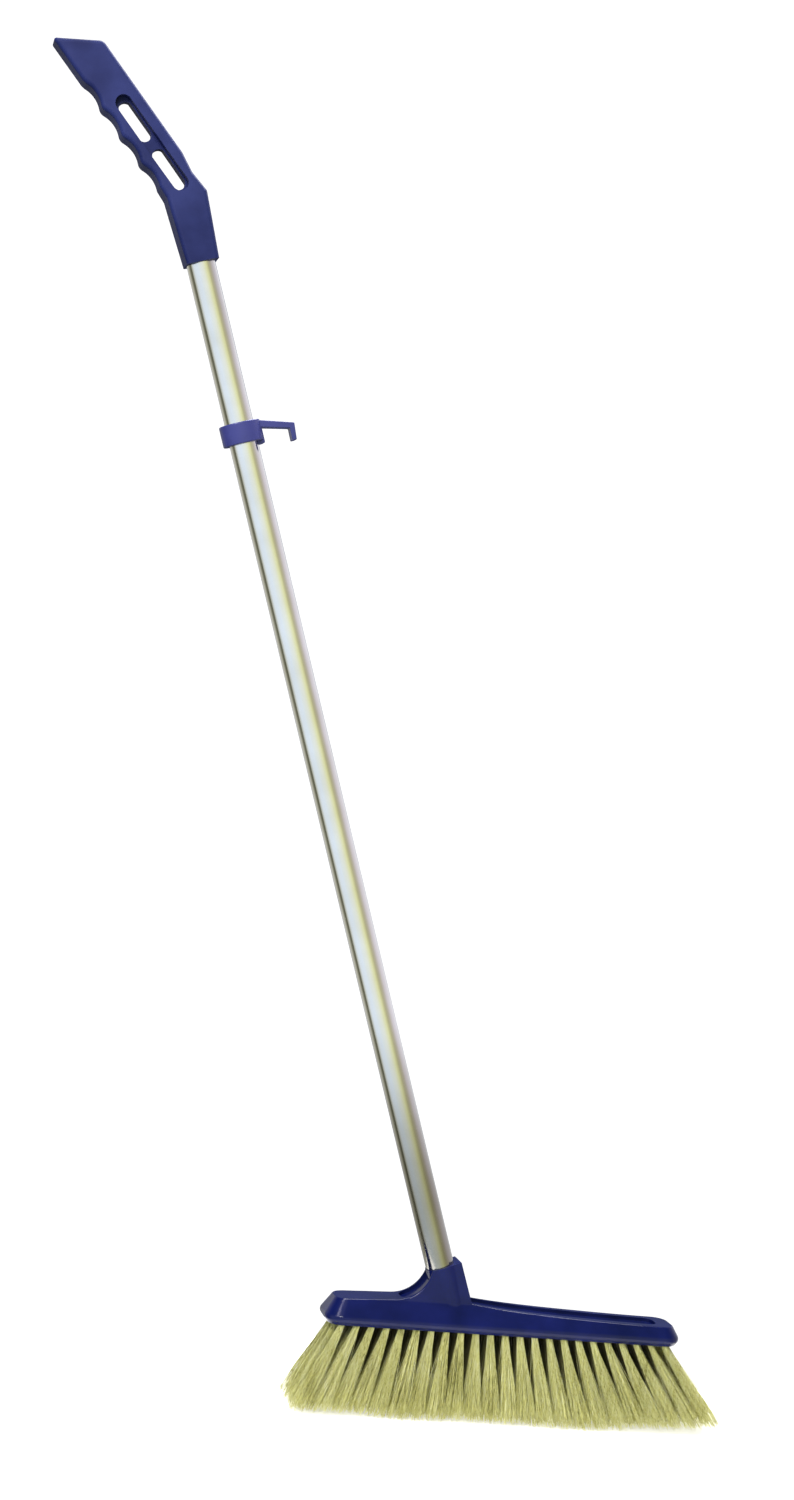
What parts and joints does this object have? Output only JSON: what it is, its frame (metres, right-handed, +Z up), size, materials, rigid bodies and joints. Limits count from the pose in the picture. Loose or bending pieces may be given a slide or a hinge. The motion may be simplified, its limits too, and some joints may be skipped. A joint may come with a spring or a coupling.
{
  "type": "broom",
  "caption": "One-handed floor broom: narrow moulded head with flared bristle tufts, leaning metal tube, bent pistol grip with a slot, and a sliding hook clip for a dustpan",
  "frame": {"origin": "on the flat bristle ends where they meet the floor, under the middle of the head", "axes": "+Z up from the floor; +X along the head, away from the side the tube leans to; +Y to the back, across the head"},
  "size_m": [0.6358, 0.0629, 1.0001],
  "materials": {
    "head_plastic": "glossy navy blue moulding",
    "grip_plastic": "satin blue moulding",
    "clip_plastic": "satin navy blue moulding",
    "plug_plastic": "plain moulding",
    "tube_metal": "bright plated tube",
    "steel": "plain steel wire",
    "bristle": "pale yellow synthetic fibre"
  },
  "bodies": {
    "broom": {"head_block": "head_plastic", "tuft_anchors": "steel", "thread_plug": "plug_plastic", "plug_rivet": "steel", "tube": "tube_metal", "grip": "grip_plastic", "tufts_01": "bristle", "tufts_02": "bristle", "tufts_03": "bristle", "tufts_04": "bristle", "tufts_05": "bristle", "tufts_06": "bristle", "tufts_07": "bristle", "tufts_08": "bristle", "tufts_09": "bristle", "tufts_10": "bristle", "tufts_11": "bristle", "tufts_12": "bristle", "tufts_13": "bristle", "tufts_14": "bristle", "tufts_15": "bristle", "tufts_16": "bristle", "tufts_17": "bristle", "tufts_18": "bristle", "tufts_19": "bristle", "tufts_20": "bristle", "tufts_21": "bristle", "tufts_22": "bristle", "tufts_23": "bristle"},
    "clip": {"hook_clip": "clip_plastic"}
  },
  "joints": [
    {"name": "clip_slide", "type": "slide", "parent": "broom", "child": "clip", "axis": [-0.3469, 0, 0.9379], "range_m": [-0.64, 0.12]}
  ]
}
